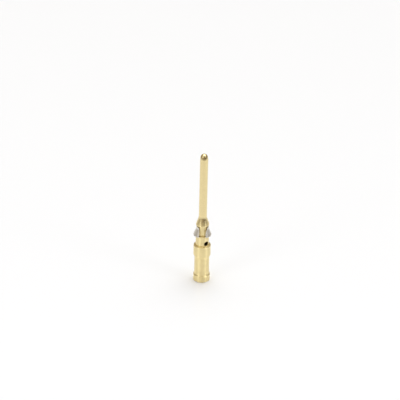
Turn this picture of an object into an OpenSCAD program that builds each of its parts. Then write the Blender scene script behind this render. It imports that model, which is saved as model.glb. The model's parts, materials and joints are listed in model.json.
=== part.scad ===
// Heavy-duty crimp contact, male, for a 1.6 mm contact system.
// A turned and gold-plated pin with a crimp barrel, and a loose spring clip in a groove.
// It stands on the mouth of its barrel: the origin is the middle of that face, +Z runs to the pin's tip.
// All sizes are in millimetres.

/* [Contact pin] */
// Diameter of the contact pin
pin_d = 1.6; // [1.2:0.05:2]
// Length of the pin from the cone to the tip
pin_len = 13.95; // [6:0.05:20]
// Length of the rounded nose
nose_len = 1.2; // [0.85:0.05:1.4]
// Tip radius of the nose as a share of the pin's radius
nose_blunt = 0.9; // [0.5:0.05:0.9]
// Radius at the root of the pin, where the cone starts
root_r = 2; // [0.2:0.1:3]

/* [Guide collar] */
// Diameter of the collar above the clip groove
collar_d = 2.6; // [2.4:0.05:3]
// Straight length of the collar
collar_land = 0.25; // [0.1:0.05:0.6]
// Length of the cone between the collar and the pin
cone_len = 1.5; // [0.8:0.1:3]

/* [Clip groove] */
// Depth of the groove below the collar
groove_depth = 0.35; // [0.2:0.05:0.45]
// Length of the groove
groove_len = 2.25; // [1.6:0.05:4]

/* [Neck and flange] */
// Diameter of the neck between the flange and the groove
neck_d = 2.6; // [2.4:0.05:3]
// Length of the neck
neck_len = 2.2; // [2.1:0.05:4]
// Diameter of the flange
flange_d = 3.4; // [3.2:0.05:4]
// Straight length of the flange with its top chamfer
flange_len = 2.2; // [1:0.1:4]
// Chamfer on the top edge of the flange
flange_chamfer = 0.1; // [0.05:0.05:0.25]
// Length of the taper between the flange and the barrel
flange_taper = 0.6; // [0.2:0.1:1]

/* [Crimp barrel] */
// Outer diameter of the crimp barrel
barrel_d = 2.95; // [2.6:0.05:3.2]
// Length of the barrel between the two tapers
barrel_len = 3.7; // [2:0.1:8]
// Diameter of the rim at the mouth
rim_d = 3.3; // [3.1:0.05:3.6]
// Straight length of the rim with its bottom chamfer
rim_len = 1.3; // [0.5:0.1:2]
// Length of the taper between the rim and the barrel
rim_taper = 0.2; // [0.1:0.05:1]
// Chamfer on the bottom edge of the rim
rim_chamfer = 0.1; // [0.05:0.05:0.2]

/* [Wire bore] */
// Diameter of the wire bore
bore_d = 1.75; // [1.2:0.05:2]
// Width of the countersink at the mouth, measured along the face
mouth_chamfer = 0.25; // [0.1:0.05:0.35]
// Included angle of the drill point at the end of the bore
drill_angle = 118; // [90:1:140]
// Diameter of the inspection hole
sight_d = 1; // [0.6:0.05:1.1]
// Wall left between the flange and the inspection hole
sight_wall = 0.1; // [0.1:0.05:0.3]
// How far the straight bore runs on past the inspection hole
bore_past = 0.1; // [0.05:0.05:0.2]
// Direction of the inspection hole, turned from the front
sight_turn = 40; // [0:1:359]

/* [Retention clip] */
// Thickness of the spring sheet
clip_t = 0.18; // [0.1:0.02:0.24]
// Radial play of the clip on the floor of the groove
clip_play = 0.1; // [0.04:0.02:0.16]
// Axial play between the clip and the collar
clip_head_play = 0.3; // [0.1:0.05:0.5]
// Axial play between the clip and the neck
clip_foot_play = 0.1; // [0.05:0.05:0.3]
// Straight length at the top of the clip
clip_top_len = 0.45; // [0.3:0.05:0.9]
// Outer diameter of the skirt at its lower edge
skirt_d = 3.6; // [3:0.05:4]
// Width of the open gap
gap_w = 1.3; // [0.6:0.05:1.35]
// Radius of the upper corner on the gap's left
gap_top_r = 0.3; // [0.1:0.05:0.35]
// Width of the slanted upper corner on the gap's right
slant_w = 0.38; // [0.1:0.02:0.38]
// Height of the slanted corner
slant_h = 0.8; // [0.3:0.05:1.2]
// Radius of the lower corners at the gap
gap_foot_r = 0.2; // [0.1:0.05:0.4]

/* [Finish] */
// Break on the sharp edges of the collar and the neck
edge_break = 0.04; // [0.02:0.01:0.06]

/* [Hidden] */
$fn = 96;

gold = [0.89, 0.78, 0.50];
steel = [0.74, 0.74, 0.72];

// Radii of the turned steps
pin_r = pin_d / 2;
collar_r = collar_d / 2;
groove_r = collar_r - groove_depth;
neck_r = neck_d / 2;
flange_r = flange_d / 2;
barrel_r = barrel_d / 2;
rim_r = rim_d / 2;
bore_r = bore_d / 2;

// Heights of the turned steps above the mouth
barrel_low = rim_len + rim_taper;
barrel_top = barrel_low + barrel_len;
flange_low = barrel_top + flange_taper;
flange_top = flange_low + flange_len;
groove_low = flange_top + neck_len;
groove_top = groove_low + groove_len;
cone_low = groove_top + collar_land;
cone_top = cone_low + cone_len;
tip_z = cone_top + pin_len;
nose_low = tip_z - nose_len;

// Two tangent arcs make the nose: a shoulder that leaves the pin's wall, and the tip
tip_r = nose_blunt * pin_r;
tip_rise = nose_len - tip_r;
shoulder_r = (pin_r ^ 2 + tip_rise ^ 2 - tip_r ^ 2) / (2 * (pin_r - tip_r));
arcs_meet = shoulder_r * tip_rise / (shoulder_r - tip_r);

// The root radius touches the pin's wall and the cone at this distance from their corner
cone_slope = atan((collar_r - pin_r) / cone_len);
root_reach = root_r * tan(cone_slope / 2);
// Its circle is this much larger, so that the arc crosses both at a clear angle
root_sink = 0.001;

// Heights inside the barrel
sight_z = flange_top + sight_wall + sight_d / 2;
bore_end = sight_z + sight_d / 2 + bore_past;
drill_len = bore_r / tan(drill_angle / 2);

// The clip in its groove
clip_in_r = groove_r + clip_play;
clip_out_r = clip_in_r + clip_t;
clip_low = groove_low + clip_foot_play;
clip_top = groove_top - clip_head_play;
bend_z = clip_top - clip_top_len;
skirt_slope = atan((skirt_d / 2 - clip_out_r) / (bend_z - clip_low));
bend_shift = clip_t * tan(skirt_slope / 2);
foot_in = clip_t / cos(skirt_slope);

// Room that a cutting tool runs past the surface it cuts
overrun = 1;

// Half outline of the turned piece, from the mouth up to the start of the nose
module turned_outline() {
    polygon([
        [0, 0],
        [rim_r - rim_chamfer, 0],
        [rim_r, rim_chamfer],
        [rim_r, rim_len],
        [barrel_r, barrel_low],
        [barrel_r, barrel_top],
        [flange_r, flange_low],
        [flange_r, flange_top - flange_chamfer],
        [flange_r - flange_chamfer, flange_top],
        [neck_r, flange_top],
        [neck_r, groove_low - edge_break],
        [neck_r - edge_break, groove_low],
        [groove_r, groove_low],
        [groove_r, groove_top],
        [collar_r - edge_break, groove_top],
        [collar_r, groove_top + edge_break],
        [collar_r, cone_low],
        [pin_r, cone_top],
        [pin_r, nose_low],
        [0, nose_low],
    ]);
}

// Half outline of the nose: the shoulder arc below, the tip arc above
module nose_outline() {
    translate([0, nose_low]) {
        intersection() {
            translate([pin_r - shoulder_r, 0]) circle(shoulder_r);
            square([pin_r, arcs_meet]);
        }
        intersection() {
            translate([0, tip_rise]) circle(tip_r);
            translate([0, arcs_meet]) square([pin_r, nose_len]);
        }
    }
}

// Metal that the root radius leaves in the corner between the pin and the cone
module root_outline() {
    difference() {
        polygon([
            [pin_r, cone_top + root_reach],
            [pin_r / 2, cone_top],
            [pin_r + root_reach * sin(cone_slope), cone_top - root_reach * cos(cone_slope)],
        ]);
        translate([pin_r + root_r, cone_top + root_reach]) circle(root_r + root_sink);
    }
}

// Half outline of the wire bore: countersink, straight wall and drill point
module bore_outline() {
    polygon([
        [0, 0],
        [bore_r + mouth_chamfer, 0],
        [bore_r, mouth_chamfer],
        [bore_r, bore_end],
        [0, bore_end + drill_len],
    ]);
}

// Round hole through one side of the neck, where the stripped wire can be seen
module sight_hole() {
    rotate([0, 0, sight_turn])
        translate([0, 0, sight_z])
            rotate([90, 0, 0])
                cylinder(d = sight_d, h = neck_r + overrun);
}

// The pin, collar, neck, flange and barrel, turned from one bar
module contact_body() {
    color(gold)
        difference() {
            rotate_extrude()
                difference() {
                    union() {
                        turned_outline();
                        nose_outline();
                        root_outline();
                    }
                    bore_outline();
                }
            sight_hole();
        }
}

// Cross-section of the clip's sheet: straight top, bend and flared skirt
module clip_outline() {
    polygon([
        [clip_in_r, clip_top],
        [clip_in_r, bend_z - bend_shift],
        [skirt_d / 2 - foot_in, clip_low],
        [skirt_d / 2, clip_low],
        [clip_out_r, bend_z],
        [clip_out_r, clip_top],
    ]);
}

// Metal that rounds a corner of the gap, taken off outside a quarter circle
module corner_cut(r) {
    difference() {
        translate([-gap_w / 2, 0]) square([r + gap_w / 2, r + overrun]);
        translate([r, 0]) circle(r);
    }
}

// Front view of the gap in the clip: rounded corners, and a slant that opens it at the upper right
module gap_outline() {
    translate([-gap_w / 2, clip_low - overrun]) square([gap_w, clip_top - clip_low + 2 * overrun]);
    for (side = [0, 1])
        mirror([side, 0])
            translate([gap_w / 2, clip_low + gap_foot_r]) mirror([0, 1]) corner_cut(gap_foot_r);
    mirror([1, 0])
        translate([gap_w / 2, clip_top - gap_top_r]) corner_cut(gap_top_r);
    translate([gap_w / 2, clip_top])
        polygon([
            [-gap_w / 2, overrun],
            [-gap_w / 2, -slant_h],
            [0, -slant_h],
            [slant_w, 0],
            [slant_w, overrun],
        ]);
}

// The spring clip, open at the front
module retention_clip() {
    color(steel)
        difference() {
            rotate_extrude() clip_outline();
            rotate([90, 0, 0])
                linear_extrude(height = skirt_d / 2 + overrun) gap_outline();
        }
}

contact_body();
retention_clip();
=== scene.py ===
"""Looks of the heavy-duty crimp contact: a turned, gold-plated pin contact and its steel spring clip."""
import json
import math
from types import SimpleNamespace

import bmesh
import bpy
import numpy as np
from mathutils import Matrix, Vector


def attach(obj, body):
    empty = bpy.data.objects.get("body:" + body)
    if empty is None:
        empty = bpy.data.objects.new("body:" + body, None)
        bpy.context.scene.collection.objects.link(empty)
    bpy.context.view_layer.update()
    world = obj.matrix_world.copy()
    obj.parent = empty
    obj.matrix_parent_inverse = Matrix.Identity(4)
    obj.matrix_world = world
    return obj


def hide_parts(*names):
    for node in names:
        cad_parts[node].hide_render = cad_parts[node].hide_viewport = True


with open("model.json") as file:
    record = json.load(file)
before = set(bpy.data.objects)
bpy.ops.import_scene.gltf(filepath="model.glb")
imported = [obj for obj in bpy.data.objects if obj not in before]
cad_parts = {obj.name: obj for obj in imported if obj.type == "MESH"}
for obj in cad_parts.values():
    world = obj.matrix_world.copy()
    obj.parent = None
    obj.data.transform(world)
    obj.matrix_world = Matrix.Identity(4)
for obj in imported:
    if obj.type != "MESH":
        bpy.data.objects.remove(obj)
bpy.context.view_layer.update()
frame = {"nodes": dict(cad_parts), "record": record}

MM = 0.001
UP = Vector((0, 0, 1))
TOLERANCE = 0.001 * MM          # lengths closer than this count as the same
HEIGHT_DECIMALS = 7             # to which heights on the axis are read, in metres
RING_DECIMALS = 3               # to which the points of a ring are told apart, in millimetres and radians

# The photograph: its size and where the contact's axis lies in it
PHOTO_PX = 400
AXIS_PX = (203.55, 185.5)       # picture point of the axis at AXIS_HEIGHT
AXIS_HEIGHT = 21.2 * MM
PX_PER_MM = 5.12                # scale at that point
CAMERA_ELEVATION = 29.0         # degrees above the horizon
CAMERA_AZIMUTH = 0.0            # degrees, 0 looks along +Y
CAMERA_ROLL = 1.3               # degrees, the contact leans to the right
CAMERA_DISTANCE = 430 * MM
CAMERA_RANGE = (0.01, 10)       # metres between which the camera sees
SENSOR_WIDTH = 36.0

# Fineness of the turned mesh
TURN_STEPS = 160                # faces round the axis
EDGE_RADIUS = 0.03 * MM         # rounding of the turned edges
CORNER_TURN = math.radians(9)   # a sharper turn of the outline than this is rounded
LONGEST_REACH = 0.45            # share of a straight run that one rounding may take
ARC_STEPS = 4                   # faces across a rounded edge
NOSE_STEPS = 14                 # faces along each arc of the nose
TIP_CAP = 0.06 * MM             # depth of the tip that is surely round
ROW_LENGTH = 0.7 * MM           # longest face along the axis
UPRIGHT = 0.99                  # rise per length from which a run counts as upright
LEAST_STEP = 1e-4               # a row nearer to the end of a run than this share of it is left out

# Fineness of the mesh at the inspection hole
HOLE_ROWS = 16                  # rows of faces beside the hole
HOLE_STEPS = 18                 # faces from the hole's middle to the side of its patch
PATCH_LOOPS = 4                 # loops of faces between the patch's border and the hole
PATCH_SHARE = 0.6               # share of the wall beside the hole that its patch takes
HOLE_EDGE_SHARE = 0.6           # share of that margin that the hole's rounded edge takes

# Fineness of the clip's mesh
CLIP_STEPS = 128                # faces round the clip
BEND_RADIUS = 0.5 * MM          # outer radius of the bend between band and skirt
BEND_STEPS = 5                  # faces along the bend
SKIRT_STEPS = 4                 # faces along the straight skirt
CORNER_STEPS = 8                # faces along a rounded corner of the gap
SHEET_EDGE = 0.025 * MM         # rounding of the sheared edges
SHEET_EDGE_STEPS = 2            # faces across that rounding
SHEET_EDGE_ANGLE = math.radians(50)  # only edges that turn by more than this are rounded

# Noise and relief of the metals: grains are counted per millimetre
NOISE_RANGE = (0.3, 0.7)        # values that a noise mostly keeps to
NOISE_DETAIL, RELIEF_DETAIL = 2.0, 3.0
RELIEF_DEPTH = 0.0008 * MM

# Gold plate: colours, and the finish from the body to the pin
BODY_GOLD = (0.99, 0.835, 0.445)
PIN_GOLD = (0.795, 0.66, 0.355)
# duller plating with painted shade for the drilled walls of the bore and the inspection hole
DULL_AND_SHADED_BORE_GOLD = (0.5, 0.39, 0.19)
TONE_GRAIN = 0.9
TONE_SWING = 0.2                # how far the tone wanders between body and pin, to either side
BODY_ROUGHNESS, PIN_ROUGHNESS = 0.335, 0.21
ROUGHNESS_SWING = 0.03
BODY_SMEAR, PIN_SMEAR = 0.94, 0.6   # anisotropy: how strongly the lights are smeared along the axis
SMEAR_TURN = 0.25               # of a full turn, from round the axis to along it
RING_STRETCH = (0.05, 0.05, 1)  # makes rings of the noise
RING_GRAIN, RING_RELIEF_GRAIN = 4.0, 14.0
# Heights in millimetres between which the coarse turning of the body passes into the fine finish of the pin
BODY_TOP, PIN_START = 12.5, 14.5
# Radii and heights in millimetres between which the drilled walls, with duller plating and painted shade,
# pass into the plated outside
SHADED_BORE_WALL, SHADED_BORE_TOP = (1.24, 1.28), (9.8, 10)
FLATTEN = (1, 1, 0)             # drops the height of a place

# Spring steel
STEEL_TONES = (0.80, 0.77, 0.70), (0.86, 0.83, 0.76)
STEEL_ROUGHNESS = (0.42, 0.52)
STEEL_GRAIN = 1.6
ROLL_STRETCH = (0.3, 0.3, 6)    # makes rolling lines of the noise
ROLL_GRAIN, ROLL_RELIEF_GRAIN = 3.0, 5.0

# White floor, with a painted pool of light that passes into painted shade
FLOOR_REACH = 250 * MM          # how far it runs to each side of the contact
FLOOR_WHITE = (0.945, 0.965, 0.995)
# painted shade: the floor's colour beyond its painted pool of light
PAINTED_FLOOR_SHADE = (0.27, 0.235, 0.19)
FLOOR_ROUGHNESS = 0.25
# Painted pool of light on the floor, in millimetres: its middle, and the radii between which the colour
# passes into painted shade
PAINTED_POOL_MIDDLE = (0, 100, 0)
PAINTED_POOL_FULL, PAINTED_POOL_END = 165, 215

# Light tent, 1 is paper white: levels of its foot and walls by degrees from the camera's side to the right
FOOT_LEVELS = [
    (-180, 0.5), (-140, 0.4), (-100, 0.15), (-70, 0.25), (-40, 0.45), (0, 0.3),
    (30, 0.1), (60, 0.1), (110, 0.1), (140, 0.4), (180, 0.5),
]
WALL_LEVELS = [
    (-180, 0.4), (-120, 0.5), (-64, 0.4), (-45, 3.2), (-28, 0.4), (0, 0.35),
    (46, 0.35), (61, 3.6), (76, 0.4), (120, 0.5), (180, 0.4),
]
WALL_START, WALL_FULL = 9, 22       # degrees of height between which the foot passes into the walls
WALL_END, CEILING_FULL = 30, 48     # degrees of height between which the walls pass into the ceiling
CEILING_LEVEL = 0.52
CAMERA_SIDE = 0.5                   # place of the camera's side on a ramp that runs once round

# Tint of the dim parts of the tent, and the levels between which it passes into white
DIM_TINT, WHITE_TINT = (1.0, 0.8, 0.56), (1, 1, 1)
DIM_LEVEL, WHITE_LEVEL = 0.2, 0.7

# Large soft light above, in degrees
TOP_LIGHT = (160, 75)               # its middle, from the camera's side and of height
TOP_HALF_WIDTH, TOP_BLUR = 25, 24   # the blur lies half inside and half outside that width
TOP_LEVEL = 2.7

# Places of the colour sockets on a mix node
MIX_SHARE, MIX_FIRST, MIX_SECOND, MIX_RESULT = 0, 6, 7, 2


def same(first, second):
    """Whether lengths, or arrays of them, agree."""
    return abs(first - second) < TOLERANCE


def unit(vector):
    """A vector of length 1 in the same direction."""
    return vector / np.linalg.norm(vector)


def outward(direction):
    """Normal of an outline that runs with the metal on its left."""
    return np.array([direction[1], -direction[0]])


def node_points(name):
    """The corner points of a CAD node's mesh, one row each."""
    return np.array([vertex.co for vertex in frame["nodes"][name].data.vertices], float)


def full_rings(points):
    """(radius, height) of the circles of points that go all the way round the axis."""
    radius = np.hypot(points[:, 0], points[:, 1])
    keys = np.round(np.stack([radius, points[:, 2]], axis=1) / MM, RING_DECIMALS)
    counts = {}
    for key in np.unique(keys[keys[:, 0] > TOLERANCE / MM], axis=0):
        ring = points[(keys == key).all(axis=1)]
        angles = np.round(np.arctan2(ring[:, 1], ring[:, 0]), RING_DECIMALS)
        counts[tuple(key * MM)] = len(np.unique(angles))
    most = max(counts.values())
    return [ring for ring, count in counts.items() if count == most]


def in_turning_order(rings):
    """Rings from the mouth upwards. Where several share a height, the nearest in radius comes next."""
    left = sorted(rings, key=lambda ring: ring[1])
    ordered = [left.pop(0)]
    while left:
        level = [ring for ring in left if same(ring[1], left[0][1])]
        nearest = min(level, key=lambda ring: abs(ring[0] - ordered[-1][0]))
        left.remove(nearest)
        ordered.append(nearest)
    return ordered


def read_body():
    """Outline, bore and inspection hole of the turned piece, read from the CAD node and the mounts."""
    mounts = {mount["name"]: mount for mount in frame["record"]["mounts"]}
    bore_r = mounts["wire_bore"]["dims"]["r_mm"] * MM
    pin_r = mounts["contact_pin"]["dims"]["r_mm"] * MM
    neck_low = mounts["flange_seat"]["pos_m"][2]
    clip_low = mounts["clip_skirt"]["pos_m"][2]

    points = node_points("contact_body")
    radius = np.hypot(points[:, 0], points[:, 1])
    height = points[:, 2]
    rings = full_rings(points)
    nose_foot = max(z for r, z in rings if same(r, pin_r))
    bore = [ring for ring in rings if same(ring[0], bore_r)]
    bore_end = max(z for r, z in bore)
    outer = in_turning_order([ring for ring in rings if ring not in bore and ring[1] <= nose_foot])
    neck_r = min(r for r, z in outer if same(z, neck_low))
    neck_high = max(z for r, z in outer if same(r, neck_r) and z < clip_low)

    on_axis = np.round(height[radius < TOLERANCE], HEIGHT_DECIMALS)
    tip = on_axis.max()
    near_tip = (height > tip - TIP_CAP) & (radius > TOLERANCE)
    crown = np.argmin(np.where(near_tip, height, np.inf))
    drop = tip - height[crown]

    between = (height > neck_low + TOLERANCE) & (height < neck_high - TOLERANCE)
    hole = points[same(radius, neck_r) & between]
    low, high = hole[:, 2].min(), hole[:, 2].max()
    middle = hole.mean(axis=0)
    return SimpleNamespace(
        corners=[(0, on_axis.min()), (bore_r, bore_end), min(bore, key=lambda ring: ring[1])] + outer,
        bore_r=bore_r, bore_end=bore_end,
        neck_r=neck_r, neck_low=neck_low,
        pin_r=pin_r, nose_foot=nose_foot,
        tip=tip, tip_r=(radius[crown] ** 2 + drop ** 2) / (2 * drop),
        hole_z=(high + low) / 2, hole_r=(high - low) / 2, hole_angle=math.atan2(middle[1], middle[0]),
    )


class Outline:
    """Points and normals along a half outline that runs with the metal on its left."""

    def __init__(self):
        self.points = []
        self.normals = []

    def add(self, point, normal):
        """Adds a point with its normal."""
        self.points.append(point)
        self.normals.append(normal)

    def straight(self, start, end, stops, with_start=False, with_end=False):
        """A run with a row at each height in stops, if it is upright, and no face longer than ROW_LENGTH."""
        run = end - start
        direction = unit(run)
        marks = [0.0, 1.0]
        if abs(direction[1]) > UPRIGHT:
            shares = [(stop - start[1]) / run[1] for stop in stops]
            marks += [share for share in shares if LEAST_STEP < share < 1 - LEAST_STEP]
        marks.sort()
        rows = [0.0] if with_start else []
        for low, high in zip(marks, marks[1:]):
            count = math.ceil((high - low) * np.linalg.norm(run) / ROW_LENGTH)
            rows += list(np.linspace(low, high, count + 1)[1:])
        for share in rows:
            if share < 1 or with_end:
                self.add(start + run * share, outward(direction))

    def rounding(self, start, into, turn, radius):
        """An arc from a point and a direction that turns by an angle, to the left if it is positive."""
        side = -1 if turn > 0 else 1
        n = outward(into)
        centre = start + side * radius * n
        for share in np.linspace(0, 1, ARC_STEPS + 1):
            c, s = math.cos(turn * share), math.sin(turn * share)
            normal = np.array([c * n[0] - s * n[1], s * n[0] + c * n[1]])
            self.add(centre - side * radius * normal, normal)

    def nose(self, body):
        """A shoulder arc that leaves the pin's wall, then the tip arc."""
        rise = body.tip - body.nose_foot - body.tip_r
        shoulder = (body.pin_r ** 2 + rise ** 2 - body.tip_r ** 2) / (2 * (body.pin_r - body.tip_r))
        join = math.atan2(rise, shoulder - body.pin_r)
        arcs = [
            ((body.pin_r - shoulder, body.nose_foot), shoulder, 0, join),
            ((0, body.nose_foot + rise), body.tip_r, join, math.pi / 2),
        ]
        for centre, radius, first, last in arcs:
            for angle in np.linspace(first, last, NOSE_STEPS + 1)[1:]:
                normal = np.array([math.cos(angle), math.sin(angle)])
                self.add(np.array(centre) + radius * normal, normal)


def rounded_outline(corners, stops):
    """The outline along a polyline, with its sharp corners rounded and rows at the heights in stops."""
    corners = [np.array(corner, float) for corner in corners]
    outline = Outline()
    start, at_first = corners[0], True
    for before, corner, after in zip(corners, corners[1:], corners[2:]):
        into, out = unit(corner - before), unit(after - corner)
        turn = math.atan2(into[0] * out[1] - into[1] * out[0], into @ out)
        if abs(turn) < CORNER_TURN:
            outline.straight(start, corner, stops, with_start=at_first)
            outline.add(corner, unit(outward(into) + outward(out)))
            start, at_first = corner, False
            continue
        bend = abs(math.tan(turn / 2))
        shorter = min(np.linalg.norm(corner - before), np.linalg.norm(after - corner))
        reach = min(EDGE_RADIUS * bend, LONGEST_REACH * shorter)
        arc_start = corner - into * reach
        outline.straight(start, arc_start, stops, with_start=at_first)
        outline.rounding(arc_start, into, turn, reach / bend)
        start, at_first = corner + out * reach, False
    outline.straight(start, corners[-1], stops, with_start=at_first, with_end=True)
    return outline


class Skin:
    """Points, normals and faces of a closed mesh in the making."""

    def __init__(self):
        self.points = []
        self.normals = []
        self.faces = []

    def add(self, position, normal):
        """Adds a point and gives its number."""
        self.points.append(Vector(position))
        self.normals.append(Vector(normal).normalized())
        return len(self.points) - 1

    def join(self, first, second):
        """Faces between two closed loops. A loop may be one point, and a missing point leaves a gap."""
        count = max(len(first), len(second))
        for step in range(count):
            after = (step + 1) % count
            corners = [first[step % len(first)], first[after % len(first)]]
            corners += [second[after % len(second)], second[step % len(second)]]
            corners = list(dict.fromkeys(corners))
            if None not in corners:
                self.faces.append(corners)


class Hole:
    """The inspection hole, and the patches of the neck's and the bore's wall that are rebuilt around it."""

    def __init__(self, body):
        self.z, self.r, self.angle = body.hole_z, body.hole_r, body.hole_angle
        self.walls = (body.neck_r, body.bore_r)
        margin = PATCH_SHARE * min(self.z - self.r - body.neck_low, body.bore_end - self.z - self.r)
        self.low, self.high = self.z - self.r - margin, self.z + self.r + margin
        self.edge = HOLE_EDGE_SHARE * margin
        self.axis = Vector((math.cos(self.angle), math.sin(self.angle), 0))
        self.across = Vector((-math.sin(self.angle), math.cos(self.angle), 0))

    def rows(self):
        """Heights of the patch's rows of points."""
        return np.linspace(self.low, self.high, HOLE_ROWS + 1)

    def on_patch(self, point, wall_r):
        """Whether a point of the outline lies on a wall's patch or its border."""
        return same(point[0], wall_r) and self.low - TOLERANCE < point[1] < self.high + TOLERANCE

    def inside_patch(self, point):
        """Whether a point of the outline lies on a wall, between the borders of its patch."""
        between = self.low + TOLERANCE < point[1] < self.high - TOLERANCE
        return between and any(same(point[0], wall_r) for wall_r in self.walls)

    def border(self, skin, outline, rings, wall_r):
        """Numbers of the points round a wall's patch, counter-clockwise as seen from outside."""
        rows = [ring for point, ring in zip(outline.points, rings) if self.on_patch(point, wall_r)]
        if skin.points[rows[0][HOLE_STEPS]].z > skin.points[rows[-1][HOLE_STEPS]].z:
            rows.reverse()
        columns = range(-HOLE_STEPS, HOLE_STEPS + 1)
        loop = [rows[0][step] for step in columns]
        loop += [row[HOLE_STEPS] for row in rows[1:-1]]
        loop += [rows[-1][step] for step in reversed(columns)]
        loop += [row[-HOLE_STEPS] for row in reversed(rows[1:-1])]
        return loop

    def turns(self, skin, loop):
        """Directions from the hole's middle to the points of a loop."""
        return [math.atan2(skin.points[v].z - self.z, skin.points[v].dot(self.across)) for v in loop]

    def wall_at(self, x, wall_r, facing):
        """Depth of a wall along the hole's axis, at a distance beside it, and the way the wall faces."""
        depth = math.sqrt(wall_r ** 2 - x ** 2)
        return depth, facing * (self.axis * depth + self.across * x)

    def wall_loops(self, skin, border, turns, wall_r, facing):
        """Loops of points on a wall, from the border to the start of the hole's rounded edge."""
        loops = [border]
        edge_r = self.r + self.edge
        for share in np.linspace(0, 1, PATCH_LOOPS + 1)[1:]:
            loop = []
            for v, turn in zip(border, turns):
                x = skin.points[v].dot(self.across) * (1 - share) + edge_r * math.cos(turn) * share
                z = skin.points[v].z * (1 - share) + (self.z + edge_r * math.sin(turn)) * share
                depth, normal = self.wall_at(x, wall_r, facing)
                loop.append(skin.add(self.axis * depth + self.across * x + UP * z, normal))
            loops.append(loop)
        return loops

    def edge_loops(self, skin, turns, wall_r, facing):
        """Loops of points over the rounded edge of the hole, from the wall into the hole."""
        loops = []
        for share in np.linspace(0, 1, ARC_STEPS + 1)[1:]:
            bend = share * math.pi / 2
            reach = self.r + self.edge * (1 - math.sin(bend))
            sink = facing * self.edge * (1 - math.cos(bend))
            loop = []
            for turn in turns:
                ray = self.across * math.cos(turn) + UP * math.sin(turn)
                depth, normal = self.wall_at((self.r + self.edge) * math.cos(turn), wall_r, facing)
                position = self.axis * (depth - sink) + ray * reach + UP * self.z
                loop.append(skin.add(position, normal.normalized() * math.cos(bend) - ray * math.sin(bend)))
            loops.append(loop)
        return loops


def turned_ring(skin, point, normal, hole):
    """Points round the axis, counted from the hole's direction, with None where the hole's patch lies."""
    if point[0] < TOLERANCE:
        return [skin.add((0, 0, point[1]), (0, 0, normal[1]))]
    inside = hole.inside_patch(point)
    ring = []
    for step in range(TURN_STEPS):
        if inside and min(step, TURN_STEPS - step) < HOLE_STEPS:
            ring.append(None)
            continue
        angle = hole.angle + 2 * math.pi * step / TURN_STEPS
        c, s = math.cos(angle), math.sin(angle)
        position = (point[0] * c, point[0] * s, point[1])
        ring.append(skin.add(position, (normal[0] * c, normal[0] * s, normal[1])))
    return ring


def body_mesh():
    """The turned piece as one closed mesh: a lathe of the outline, with the inspection hole worked in."""
    body = read_body()
    hole = Hole(body)
    outline = rounded_outline(body.corners, hole.rows())
    outline.nose(body)
    skin = Skin()
    rows = zip(outline.points, outline.normals)
    rings = [turned_ring(skin, point, normal, hole) for point, normal in rows]
    for ring, next_ring in zip(rings, rings[1:]):
        skin.join(ring, next_ring)
    outer = hole.border(skin, outline, rings, body.neck_r)
    inner = hole.border(skin, outline, rings, body.bore_r)
    turns = hole.turns(skin, outer)
    loops = hole.wall_loops(skin, outer, turns, body.neck_r, 1)
    loops += hole.edge_loops(skin, turns, body.neck_r, 1)
    inner_loops = hole.wall_loops(skin, inner, turns, body.bore_r, -1)
    inner_loops += hole.edge_loops(skin, turns, body.bore_r, -1)
    loops += reversed(inner_loops)
    for loop, next_loop in zip(loops, loops[1:]):
        skin.join(loop, next_loop)
    return make_mesh("contact_body_fine", skin.points, skin.faces, skin.normals)


def make_mesh(name, points, faces, normals=None):
    """A smooth mesh from points and faces, with given normals where there are any."""
    mesh = bpy.data.meshes.new(name)
    mesh.from_pydata(points, [], faces)
    work = bmesh.new()
    work.from_mesh(mesh)
    bmesh.ops.recalc_face_normals(work, faces=work.faces)
    work.to_mesh(mesh)
    work.free()
    mesh.shade_smooth()
    if normals:
        mesh.normals_split_custom_set_from_vertices(normals)
    mesh.update()
    return mesh


def read_clip():
    """The clip's sheet and gap, read from the CAD node."""
    points = node_points("retention_clip")
    x, y, z = points.T
    radius = np.hypot(x, y)
    low, top = z.min(), z.max()
    at_top, at_foot = same(z, top), same(z, low)
    left, right = (y < 0) & (x < 0), (y < 0) & (x > 0)
    half_gap = x[right].min()

    def side(top_r, foot_r):
        """Corners down one side of the sheet: its top, its bend and its foot."""
        return [(top_r, top), (top_r, z[same(radius, top_r)].min()), (foot_r, low)]

    top_in, top_out = radius[at_top].min(), radius[at_top].max()
    return SimpleNamespace(
        low=low, top=top,
        outer=side(top_out, radius[at_foot].max()),
        inner=side(top_in, radius[at_foot].min()),
        sheet=top_out - top_in,
        half_gap=half_gap,
        top_r=-x[left & at_top].max() - half_gap,
        foot_r=x[right & at_foot].min() - half_gap,
        slant_w=x[right & at_top].min() - half_gap,
        slant_low=z[right & same(x, half_gap)].max(),
    )


def clip_section(clip, corners, bend_radius):
    """Points down one side of the sheet: band, bend and skirt, with one where the gap's slant starts."""
    top, bend, foot = (np.array(corner) for corner in corners)
    down, flare = unit(bend - top), unit(foot - bend)
    reach = bend_radius * math.tan(math.acos(down @ flare) / 2)
    start, end = bend - down * reach, bend + flare * reach
    band = np.linalg.norm(start - top)
    skirt = np.linalg.norm(foot - end)
    quarter = [1 - math.sin(angle) for angle in np.linspace(math.pi / 2, 0, CORNER_STEPS + 1)]
    points = [top + down * clip.top_r * share for share in quarter if clip.top_r * share < band]
    for share in np.linspace(0, 1, BEND_STEPS + 1):
        points.append((1 - share) ** 2 * start + 2 * share * (1 - share) * bend + share ** 2 * end)
    for share in np.linspace(0, 1, SKIRT_STEPS + 1)[1:-1]:
        points.append(end + flare * (skirt - clip.foot_r) * share)
    points += [foot - flare * clip.foot_r * share for share in reversed(quarter)]
    next_row = next(number for number, point in enumerate(points) if point[1] < clip.slant_low)
    above, below = points[next_row - 1], points[next_row]
    share = (above[1] - clip.slant_low) / (above[1] - below[1])
    points.insert(next_row, above + (below - above) * share)
    return points


def drawn_back(past, r):
    """How far a rounded corner has drawn back at a distance past its start."""
    return r - math.sqrt(max(0, r * r - past * past)) if past > 0 else 0


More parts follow.
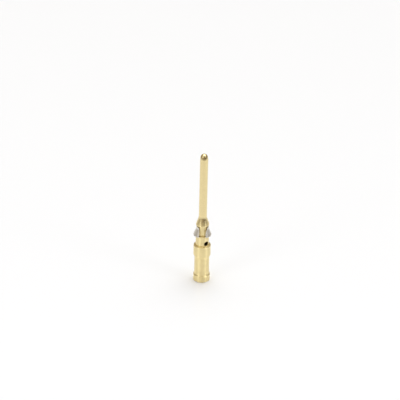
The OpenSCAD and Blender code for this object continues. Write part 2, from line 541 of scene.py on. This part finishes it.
def gap_edges(clip, z):
    """Distances of the gap's right and left edges from its middle, at a height."""
    foot = clip.half_gap + drawn_back(clip.low + clip.foot_r - z, clip.foot_r)
    slant = clip.slant_w * max(0, z - clip.slant_low) / (clip.top - clip.slant_low)
    return foot + slant, foot + drawn_back(z - clip.top + clip.top_r, clip.top_r)


def clip_mesh():
    """The spring clip: an outer and an inner skin of the sheet, joined round the edges."""
    clip = read_clip()
    points, faces = [], []

    def sheet_side(section):
        """Rows of points round one side of the sheet, from one edge of the gap to the other."""
        rows = []
        for r, z in section:
            right, left = (math.asin(edge / r) for edge in gap_edges(clip, z))
            row = []
            for angle in np.linspace(right, 2 * math.pi - left, CLIP_STEPS + 1):
                points.append((r * math.sin(angle), -r * math.cos(angle), z))
                row.append(len(points) - 1)
            rows.append(row)
        return rows

    def strip(first, second):
        """Faces between two rows."""
        for step in range(CLIP_STEPS):
            faces.append([first[step], first[step + 1], second[step + 1], second[step]])

    outer = sheet_side(clip_section(clip, clip.outer, BEND_RADIUS))
    inner = sheet_side(clip_section(clip, clip.inner, BEND_RADIUS + clip.sheet))
    for rows in (outer, inner):
        for row, next_row in zip(rows, rows[1:]):
            strip(row, next_row)
    for end in (0, -1):
        strip(outer[end], inner[end])
    for a, b, c, d in zip(outer, outer[1:], inner, inner[1:]):
        for end in (0, -1):
            faces.append([a[end], b[end], d[end], c[end]])
    return make_mesh("retention_clip_fine", points, faces)


def round_sheared_edges(clip):
    """Rounds the edges of the clip's sheet and keeps its flat faces flat in the shading."""
    bevel = clip.modifiers.new("sheared_edges", "BEVEL")
    bevel.width = SHEET_EDGE
    bevel.segments = SHEET_EDGE_STEPS
    bevel.limit_method = "ANGLE"
    bevel.angle_limit = SHEET_EDGE_ANGLE
    clip.modifiers.new("flat_faces", "WEIGHTED_NORMAL")


class Nodes:
    """Short ways to add and link the nodes of a material or a world."""

    def __init__(self, owner):
        owner.use_nodes = True
        self.tree = owner.node_tree
        self.tree.nodes.clear()

    def add(self, kind, **settings):
        """A new node with its settings."""
        node = self.tree.nodes.new(kind)
        for name, value in settings.items():
            setattr(node, name, value)
        return node

    def feed(self, node, place, value):
        """Links an output to an input, or sets the input to a constant."""
        if isinstance(value, bpy.types.NodeSocket):
            self.tree.links.new(value, node.inputs[place])
        else:
            node.inputs[place].default_value = value

    def output(self, kind, shader):
        """Links a shader to an output node."""
        self.feed(self.add(kind), "Surface", shader.outputs[0])

    def math(self, operation, *values):
        """An operation on numbers."""
        node = self.add("ShaderNodeMath", operation=operation)
        for place, value in enumerate(values):
            self.feed(node, place, value)
        return node.outputs[0]

    def vector(self, operation, result, *values):
        """An operation on vectors, of which the named result is given."""
        node = self.add("ShaderNodeVectorMath", operation=operation)
        for place, value in enumerate(values):
            self.feed(node, place, value)
        return node.outputs[result]

    def split(self, vector):
        """X, Y and Z of a vector."""
        node = self.add("ShaderNodeSeparateXYZ")
        self.feed(node, "Vector", vector)
        return node.outputs

    def mapped(self, value, low, high, at_low, at_high, easing="LINEAR"):
        """A value that passes from at_low to at_high as another goes from low to high."""
        node = self.add("ShaderNodeMapRange", interpolation_type=easing)
        self.feed(node, "Value", value)
        self.feed(node, "From Min", low)
        self.feed(node, "From Max", high)
        self.feed(node, "To Min", at_low)
        self.feed(node, "To Max", at_high)
        return node.outputs["Result"]

    def eased(self, value, start, full):
        """0 below start, 1 above full and a soft passage between."""
        return self.mapped(value, start, full, 0, 1, easing="SMOOTHSTEP")

    def noise(self, vector, grain, detail=NOISE_DETAIL):
        """A soft random value of 0 to 1 at each place."""
        node = self.add("ShaderNodeTexNoise")
        self.feed(node, "Vector", vector)
        self.feed(node, "Scale", grain)
        self.feed(node, "Detail", detail)
        return node.outputs["Fac"]

    def wandering(self, vector, grain, low, high):
        """A value that wanders from low to high over the surface."""
        return self.mapped(self.noise(vector, grain), *NOISE_RANGE, low, high)

    def blended(self, share, first, second):
        """A colour between two, by a share of 0 to 1."""
        node = self.add("ShaderNodeMix", data_type="RGBA")
        self.feed(node, MIX_SHARE, share)
        for place, colour in ((MIX_FIRST, first), (MIX_SECOND, second)):
            self.feed(node, place, (*colour, 1) if isinstance(colour, tuple) else colour)
        return node.outputs[MIX_RESULT]

    def millimetres(self):
        """Object coordinates in millimetres."""
        coords = self.add("ShaderNodeTexCoord")
        return self.vector("MULTIPLY", "Vector", coords.outputs["Object"], (1 / MM, 1 / MM, 1 / MM))

    def relief(self, shader, height):
        """Fine relief from a height of 0 to 1."""
        node = self.add("ShaderNodeBump")
        self.feed(node, "Strength", 1.0)
        self.feed(node, "Distance", RELIEF_DEPTH)
        self.feed(node, "Height", height)
        self.feed(shader, "Normal", node.outputs["Normal"])


def new_material(name):
    """A node material with a principled shader."""
    material = bpy.data.materials.new(name)
    tree = Nodes(material)
    shader = tree.add("ShaderNodeBsdfPrincipled")
    tree.output("ShaderNodeOutputMaterial", shader)
    return material, tree, shader


def dull_and_shaded_bore_walls(tree, place, height):
    """1 on the walls of the wire bore and the inspection hole, where duller plating and painted shade go, 0
    outside.
    """
    radius = tree.vector("LENGTH", "Value", tree.vector("MULTIPLY", "Vector", place, FLATTEN))
    within = tree.mapped(radius, *SHADED_BORE_WALL, 1, 0)
    return tree.math("MULTIPLY", within, tree.mapped(height, *SHADED_BORE_TOP, 1, 0))


def gold_plate():
    """Gold over a turned piece: coarse on the body, fine on the pin, and on the drilled walls duller with
    painted shade.

    Rings round the axis smear the lights along it.
    """
    material, tree, shader = new_material("gold_plate_look")
    place = tree.millimetres()
    height = tree.split(place)["Z"]
    rings = tree.vector("MULTIPLY", "Vector", place, RING_STRETCH)
    fine = tree.mapped(height, BODY_TOP, PIN_START, 0, 1)
    tone = tree.math("ADD", fine, tree.wandering(place, TONE_GRAIN, -TONE_SWING, TONE_SWING))
    plated = tree.blended(tone, BODY_GOLD, PIN_GOLD)
    # painted shade with duller plating on the drilled walls
    tree.feed(shader, "Base Color", tree.blended(dull_and_shaded_bore_walls(tree, place, height), plated, DULL_AND_SHADED_BORE_GOLD))
    uneven = tree.wandering(rings, RING_GRAIN, -ROUGHNESS_SWING, ROUGHNESS_SWING)
    roughness = tree.mapped(fine, 0, 1, BODY_ROUGHNESS, PIN_ROUGHNESS)
    tree.feed(shader, "Roughness", tree.math("ADD", uneven, roughness))
    tree.feed(shader, "Metallic", 1.0)
    tree.feed(shader, "Anisotropic", tree.mapped(fine, 0, 1, BODY_SMEAR, PIN_SMEAR))
    tree.feed(shader, "Anisotropic Rotation", SMEAR_TURN)
    tangent = tree.add("ShaderNodeTangent", direction_type="RADIAL", axis="Z")
    tree.feed(shader, "Tangent", tangent.outputs["Tangent"])
    tree.relief(shader, tree.noise(rings, RING_RELIEF_GRAIN, RELIEF_DETAIL))
    return material


def spring_steel():
    """Bare rolled spring sheet, satin, with faint rolling lines."""
    material, tree, shader = new_material("spring_steel_look")
    place = tree.millimetres()
    lines = tree.vector("MULTIPLY", "Vector", place, ROLL_STRETCH)
    tree.feed(shader, "Base Color", tree.blended(tree.noise(place, STEEL_GRAIN), *STEEL_TONES))
    tree.feed(shader, "Roughness", tree.wandering(lines, ROLL_GRAIN, *STEEL_ROUGHNESS))
    tree.feed(shader, "Metallic", 1.0)
    tree.relief(shader, tree.noise(lines, ROLL_RELIEF_GRAIN, RELIEF_DETAIL))
    return material


def floor_white():
    """White sweep that takes the soft shadow, with a painted pool of light and painted grey shade beyond it.
    """
    material, tree, shader = new_material("floor_white")
    away = tree.vector("DISTANCE", "Value", tree.millimetres(), PAINTED_POOL_MIDDLE)
    # painted shade: the floor's colour turns grey outside a painted pool of light
    shade = tree.mapped(away, PAINTED_POOL_FULL, PAINTED_POOL_END, 0, 1)
    tree.feed(shader, "Base Color", tree.blended(shade, FLOOR_WHITE, PAINTED_FLOOR_SHADE))
    tree.feed(shader, "Roughness", FLOOR_ROUGHNESS)
    return material


def add_piece(name, mesh, material, body, replaces):
    """A piece of the contact that stands in for a CAD node and rides on its body."""
    piece = bpy.data.objects.new(name, mesh)
    bpy.context.scene.collection.objects.link(piece)
    mesh.materials.append(material)
    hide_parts(replaces)
    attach(piece, body)
    return piece


def add_floor():
    """The floor that the contact stands on."""
    signs = [(-1, -1), (1, -1), (1, 1), (-1, 1)]
    corners = [(x * FLOOR_REACH, y * FLOOR_REACH, 0) for x, y in signs]
    mesh = make_mesh("floor", corners, [[0, 1, 2, 3]])
    floor = bpy.data.objects.new("floor", mesh)
    bpy.context.scene.collection.objects.link(floor)
    mesh.materials.append(floor_white())


def pointing(azimuth, elevation):
    """Unit vector by degrees from the camera's side and degrees of height."""
    a, e = math.radians(azimuth), math.radians(elevation)
    return Vector((math.sin(a) * math.cos(e), -math.cos(a) * math.cos(e), math.sin(e)))


def level_round(tree, turn, levels):
    """Level by direction round the contact, eased from stop to stop."""
    ramp = tree.add("ShaderNodeValToRGB")
    ramp.color_ramp.interpolation = "EASE"
    stops = ramp.color_ramp.elements
    while len(stops) > 1:
        stops.remove(stops[-1])
    for number, (degrees, level) in enumerate(levels):
        place = degrees / 360 + CAMERA_SIDE
        stop = stops.new(place) if number else stops[0]
        stop.position = place
        stop.color = (level, level, level, 1)
    tree.feed(ramp, "Fac", turn)
    return ramp.outputs["Color"]


def add_world():
    """A light tent: dim foot, grey walls with two bright strips, grey ceiling and a soft light above."""
    world = bpy.data.worlds.new("tent")
    bpy.context.scene.world = world
    tree = Nodes(world)
    direction = tree.add("ShaderNodeTexCoord").outputs["Generated"]
    x, y, z = tree.split(direction)
    azimuth = tree.math("ARCTAN2", x, tree.math("MULTIPLY", y, -1))
    turn = tree.math("MULTIPLY_ADD", azimuth, 1 / (2 * math.pi), CAMERA_SIDE)

    def by_height(low, high, start, full):
        """One level below a height and another above it."""
        share = tree.eased(z, math.sin(math.radians(start)), math.sin(math.radians(full)))
        return tree.math("MULTIPLY_ADD", tree.math("SUBTRACT", high, low), share, low)

    foot = level_round(tree, turn, FOOT_LEVELS)
    walls = level_round(tree, turn, WALL_LEVELS)
    sides = by_height(foot, walls, WALL_START, WALL_FULL)
    tent = by_height(sides, CEILING_LEVEL, WALL_END, CEILING_FULL)
    along = tree.vector("DOT_PRODUCT", "Value", direction, pointing(*TOP_LIGHT))
    light_edge = math.cos(math.radians(TOP_HALF_WIDTH + TOP_BLUR / 2))
    light_core = math.cos(math.radians(TOP_HALF_WIDTH - TOP_BLUR / 2))
    level = tree.math("MULTIPLY_ADD", tree.eased(along, light_edge, light_core), TOP_LEVEL, tent)
    background = tree.add("ShaderNodeBackground")
    whiteness = tree.eased(level, DIM_LEVEL, WHITE_LEVEL)
    tree.feed(background, "Color", tree.blended(whiteness, DIM_TINT, WHITE_TINT))
    tree.feed(background, "Strength", level)
    tree.output("ShaderNodeOutputWorld", background)


def add_camera():
    """The photograph's camera, found from the contact's outline in it."""
    back = pointing(CAMERA_AZIMUTH, CAMERA_ELEVATION)
    right = UP.cross(back).normalized()
    up = back.cross(right)
    roll = math.radians(CAMERA_ROLL)
    right, up = right * math.cos(roll) + up * math.sin(roll), up * math.cos(roll) - right * math.sin(roll)
    data = bpy.data.cameras.new("photo_camera")
    data.sensor_width = SENSOR_WIDTH
    data.lens = SENSOR_WIDTH * PX_PER_MM / MM * CAMERA_DISTANCE / PHOTO_PX
    data.clip_start, data.clip_end = CAMERA_RANGE
    camera = bpy.data.objects.new("photo_camera", data)
    offset = (right * (PHOTO_PX / 2 - AXIS_PX[0]) - up * (PHOTO_PX / 2 - AXIS_PX[1])) * MM / PX_PER_MM
    eye = Vector((0, 0, AXIS_HEIGHT)) + offset + back * CAMERA_DISTANCE
    camera.matrix_world = Matrix.Translation(eye) @ Matrix((right, up, back)).transposed().to_4x4()
    bpy.context.scene.collection.objects.link(camera)
    bpy.context.scene.camera = camera


add_piece("contact_body_fine", body_mesh(), gold_plate(), "contact", "contact_body")
clip = add_piece("retention_clip_fine", clip_mesh(), spring_steel(), "clip", "retention_clip")
round_sheared_edges(clip)
add_floor()
add_world()
add_camera()
bpy.context.scene.view_settings.view_transform = "Standard"
